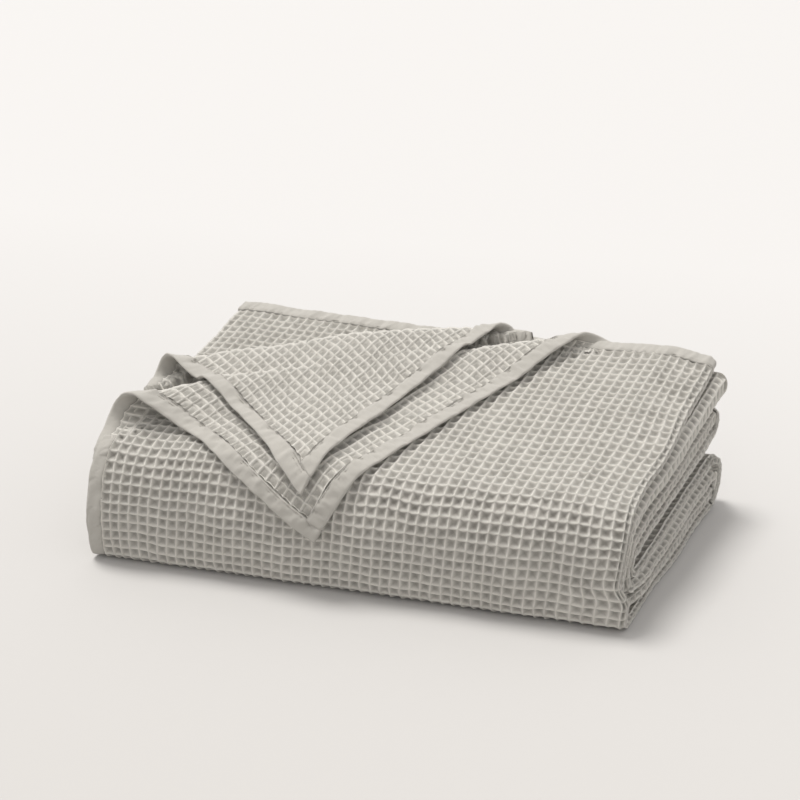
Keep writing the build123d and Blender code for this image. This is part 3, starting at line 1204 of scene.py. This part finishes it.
class BLANKET_OT_wraps(bpy.types.Operator):
    """Inner wraps of cloth and the turns that join them at the back"""

    bl_idname = "blanket.wraps"
    bl_label = "Inner wraps and turns"

    def execute(self, context):
        cell = settings().cell
        wide = -int(SIZE.width / cell) + 1
        for kind, left, seed in (
            ("turn_lower_outer", wide, 1),
            ("wrap_4", -HIDDEN, 2),
            ("turn_upper", wide, 3),
            ("wrap_3", -HIDDEN, 3),
            ("turn_lower_inner", -HIDDEN, 4),
            ("wrap_2", -HIDDEN, 5),
        ):
            place, length, outer = strip(kind)
            long_run = outer if left == wide else length
            rows = max(2, int(round(long_run / cell)))
            stretch = length / (rows * cell)

            def fitted(u, v, place=place, stretch=stretch):
                return place(u, v * stretch)

            piece = waffle(kind, (left, ROUND + HIDDEN), (0, rows), fitted, side=-1, seed=70 + seed)
            finish_piece(piece, "waffle", [kind])
        return {"FINISHED"}


class BLANKET_OT_back_hems(bpy.types.Operator):
    """Bindings along the back, round the ends of the runs"""

    bl_idname = "blanket.back_hems"
    bl_label = "Back hems"

    def execute(self, context):
        hem = settings().hem
        w = SIZE.width

        def straight(name, left, inside, out, nodes, seed, rows=True):
            length = left - 0.010

            def place(c, d, h):
                return folded(-left + c, d, inside, h + out)

            piece = tape(name, length, place, seed=seed)
            finish_piece(piece, "tape", nodes, ((length, hem), None))
            if rows:
                sew(name, length, place)

        straight("binding_back_b", 0.30, 0.0, -0.0085, ["binding_back_b"], 91, rows=False)
        straight("binding_back_c", w, 0.0, -0.0125, ["binding_back_cd"], 92)
        straight("binding_back_d", w, 0.0, -0.0180, [], 93, rows=False)
        start = 0.160

        def wrapped(c, d, h):
            e = 0.0006
            u = c - start
            point = top_run(u, d)
            along_x = top_run(u + e, d) - top_run(u - e, d)
            along_y = top_run(u, d + e) - top_run(u, d - e)
            return point + unit(np.cross(along_y, along_x)) * (np.asarray(h) - 0.003)[..., None]

        length = start + ROUND * settings().cell + 0.03
        piece = tape("binding_back_a", length, wrapped, seed=94)
        finish_piece(piece, "tape", ["binding_back_a"], ((length, hem), None))
        sew("binding_back_a", length, wrapped)
        for i in range(4):
            share = LEVELS[1] + (LEVELS[2] - LEVELS[1]) * (0.125 + 0.25 * i)
            name = "binding_back_2_%d" % i
            nodes = ["binding_back_2"] if i == 0 else []
            straight(name, w - 0.002, share, 0.0, nodes, 95 + i, rows=False)
        return {"FINISHED"}


class BLANKET_OT_stage(bpy.types.Operator):
    """Floor, light and camera"""

    bl_idname = "blanket.stage"
    bl_label = "Stage"

    def execute(self, context):
        scene = context.scene
        scene.view_settings.view_transform = "Standard"
        bm = bmesh.new()
        bmesh.ops.create_grid(bm, x_segments=1, y_segments=1, size=20.0)
        mesh = bpy.data.meshes.new("floor")
        bm.to_mesh(mesh)
        bm.free()
        floor = bpy.data.objects.new("floor", mesh)
        scene.collection.objects.link(floor)
        ground = bpy.data.materials.new("pale_floor")
        ground.use_nodes = True
        shader = ground.node_tree.nodes["Principled BSDF"]
        tree = ground.node_tree
        spot = Node.make(tree, "ShaderNodeTexCoord", output=3)
        split = Node.make(tree, "ShaderNodeSeparateXYZ", None, {0: spot}, output=1)
        # Painted shade: the floor's colour darkens towards the front, standing in for the light
        # falling off there.
        tone = blend_colours(
            tree, (split + 1.4) * 0.42, settings().floor_near_shade_colour, settings().floor_far_colour
        )
        tree.links.new(tone.socket, shader.inputs["Base Color"])
        shader.inputs["Roughness"].default_value = 0.9
        mesh.materials.append(ground)

        world = bpy.data.worlds.new("studio")
        world.use_nodes = True
        background = world.node_tree.nodes["Background"]
        background.inputs["Color"].default_value = (1.0, 0.985, 0.975, 1)
        background.inputs["Strength"].default_value = 0.93
        scene.world = world

        sun = bpy.data.lights.new("key", "SUN")
        sun.energy = 2.75
        sun.angle = math.radians(20)
        sun.color = (1.0, 0.985, 0.965)
        sun_object = bpy.data.objects.new("key", sun)
        sun_object.rotation_euler = Vector((0.34, -0.22, -1.0)).to_track_quat("-Z", "Y").to_euler()
        scene.collection.objects.link(sun_object)

        a = settings().azimuth
        e = settings().elevation
        cell = settings().cell
        right = Vector((math.cos(a), math.sin(a), 0))
        up = Vector((-math.sin(a) * math.sin(e), math.cos(a) * math.sin(e), math.cos(e)))
        look = Vector((-math.sin(a) * math.cos(e), math.cos(a) * math.cos(e), -math.sin(e)))
        anchor = Vector((SIZE.width / 2 + LEAN * SIZE.front, SIZE.front, 0))
        far = CAMERA_CELLS * cell
        place = anchor - far * (look + CAMERA_ASIDE * right - CAMERA_BELOW * up)
        camera = bpy.data.cameras.new("camera")
        camera.sensor_width = 36.0
        camera.lens = CAMERA_LENS
        camera.clip_end = 50
        camera_object = bpy.data.objects.new("camera", camera)
        camera_object.location = place
        camera_object.rotation_euler = look.to_track_quat("-Z", "Y").to_euler()
        scene.collection.objects.link(camera_object)
        scene.camera = camera_object
        return {"FINISHED"}


OPERATORS = (
    BLANKET_OT_top,
    BLANKET_OT_under_sheets,
    BLANKET_OT_corners,
    BLANKET_OT_side_hems,
    BLANKET_OT_wraps,
    BLANKET_OT_back_hems,
    BLANKET_OT_stage,
)


class BLANKET_PT_panel(bpy.types.Panel):
    """Lists the pieces and the settings"""

    bl_idname = "BLANKET_PT_panel"
    bl_label = "Folded blanket"
    bl_space_type = "VIEW_3D"
    bl_region_type = "UI"
    bl_category = "Blanket"

    def draw(self, context):
        for name in BlanketSettings.__annotations__:
            self.layout.prop(context.scene.blanket, name)
        for operator in OPERATORS:
            self.layout.operator(operator.bl_idname)


CLASSES = (BlanketSettings, *OPERATORS, BLANKET_PT_panel)


def register():
    for cls in CLASSES:
        bpy.utils.register_class(cls)
    bpy.types.Scene.blanket = bpy.props.PointerProperty(type=BlanketSettings)


def unregister():
    del bpy.types.Scene.blanket
    for cls in reversed(CLASSES):
        bpy.utils.unregister_class(cls)


def main():
    register()
    bpy.ops.blanket.stage()
    bpy.ops.blanket.top()
    bpy.ops.blanket.under_sheets()
    bpy.ops.blanket.corners()
    bpy.ops.blanket.side_hems()
    bpy.ops.blanket.wraps()
    bpy.ops.blanket.back_hems()


if __name__ == "__main__":
    main()
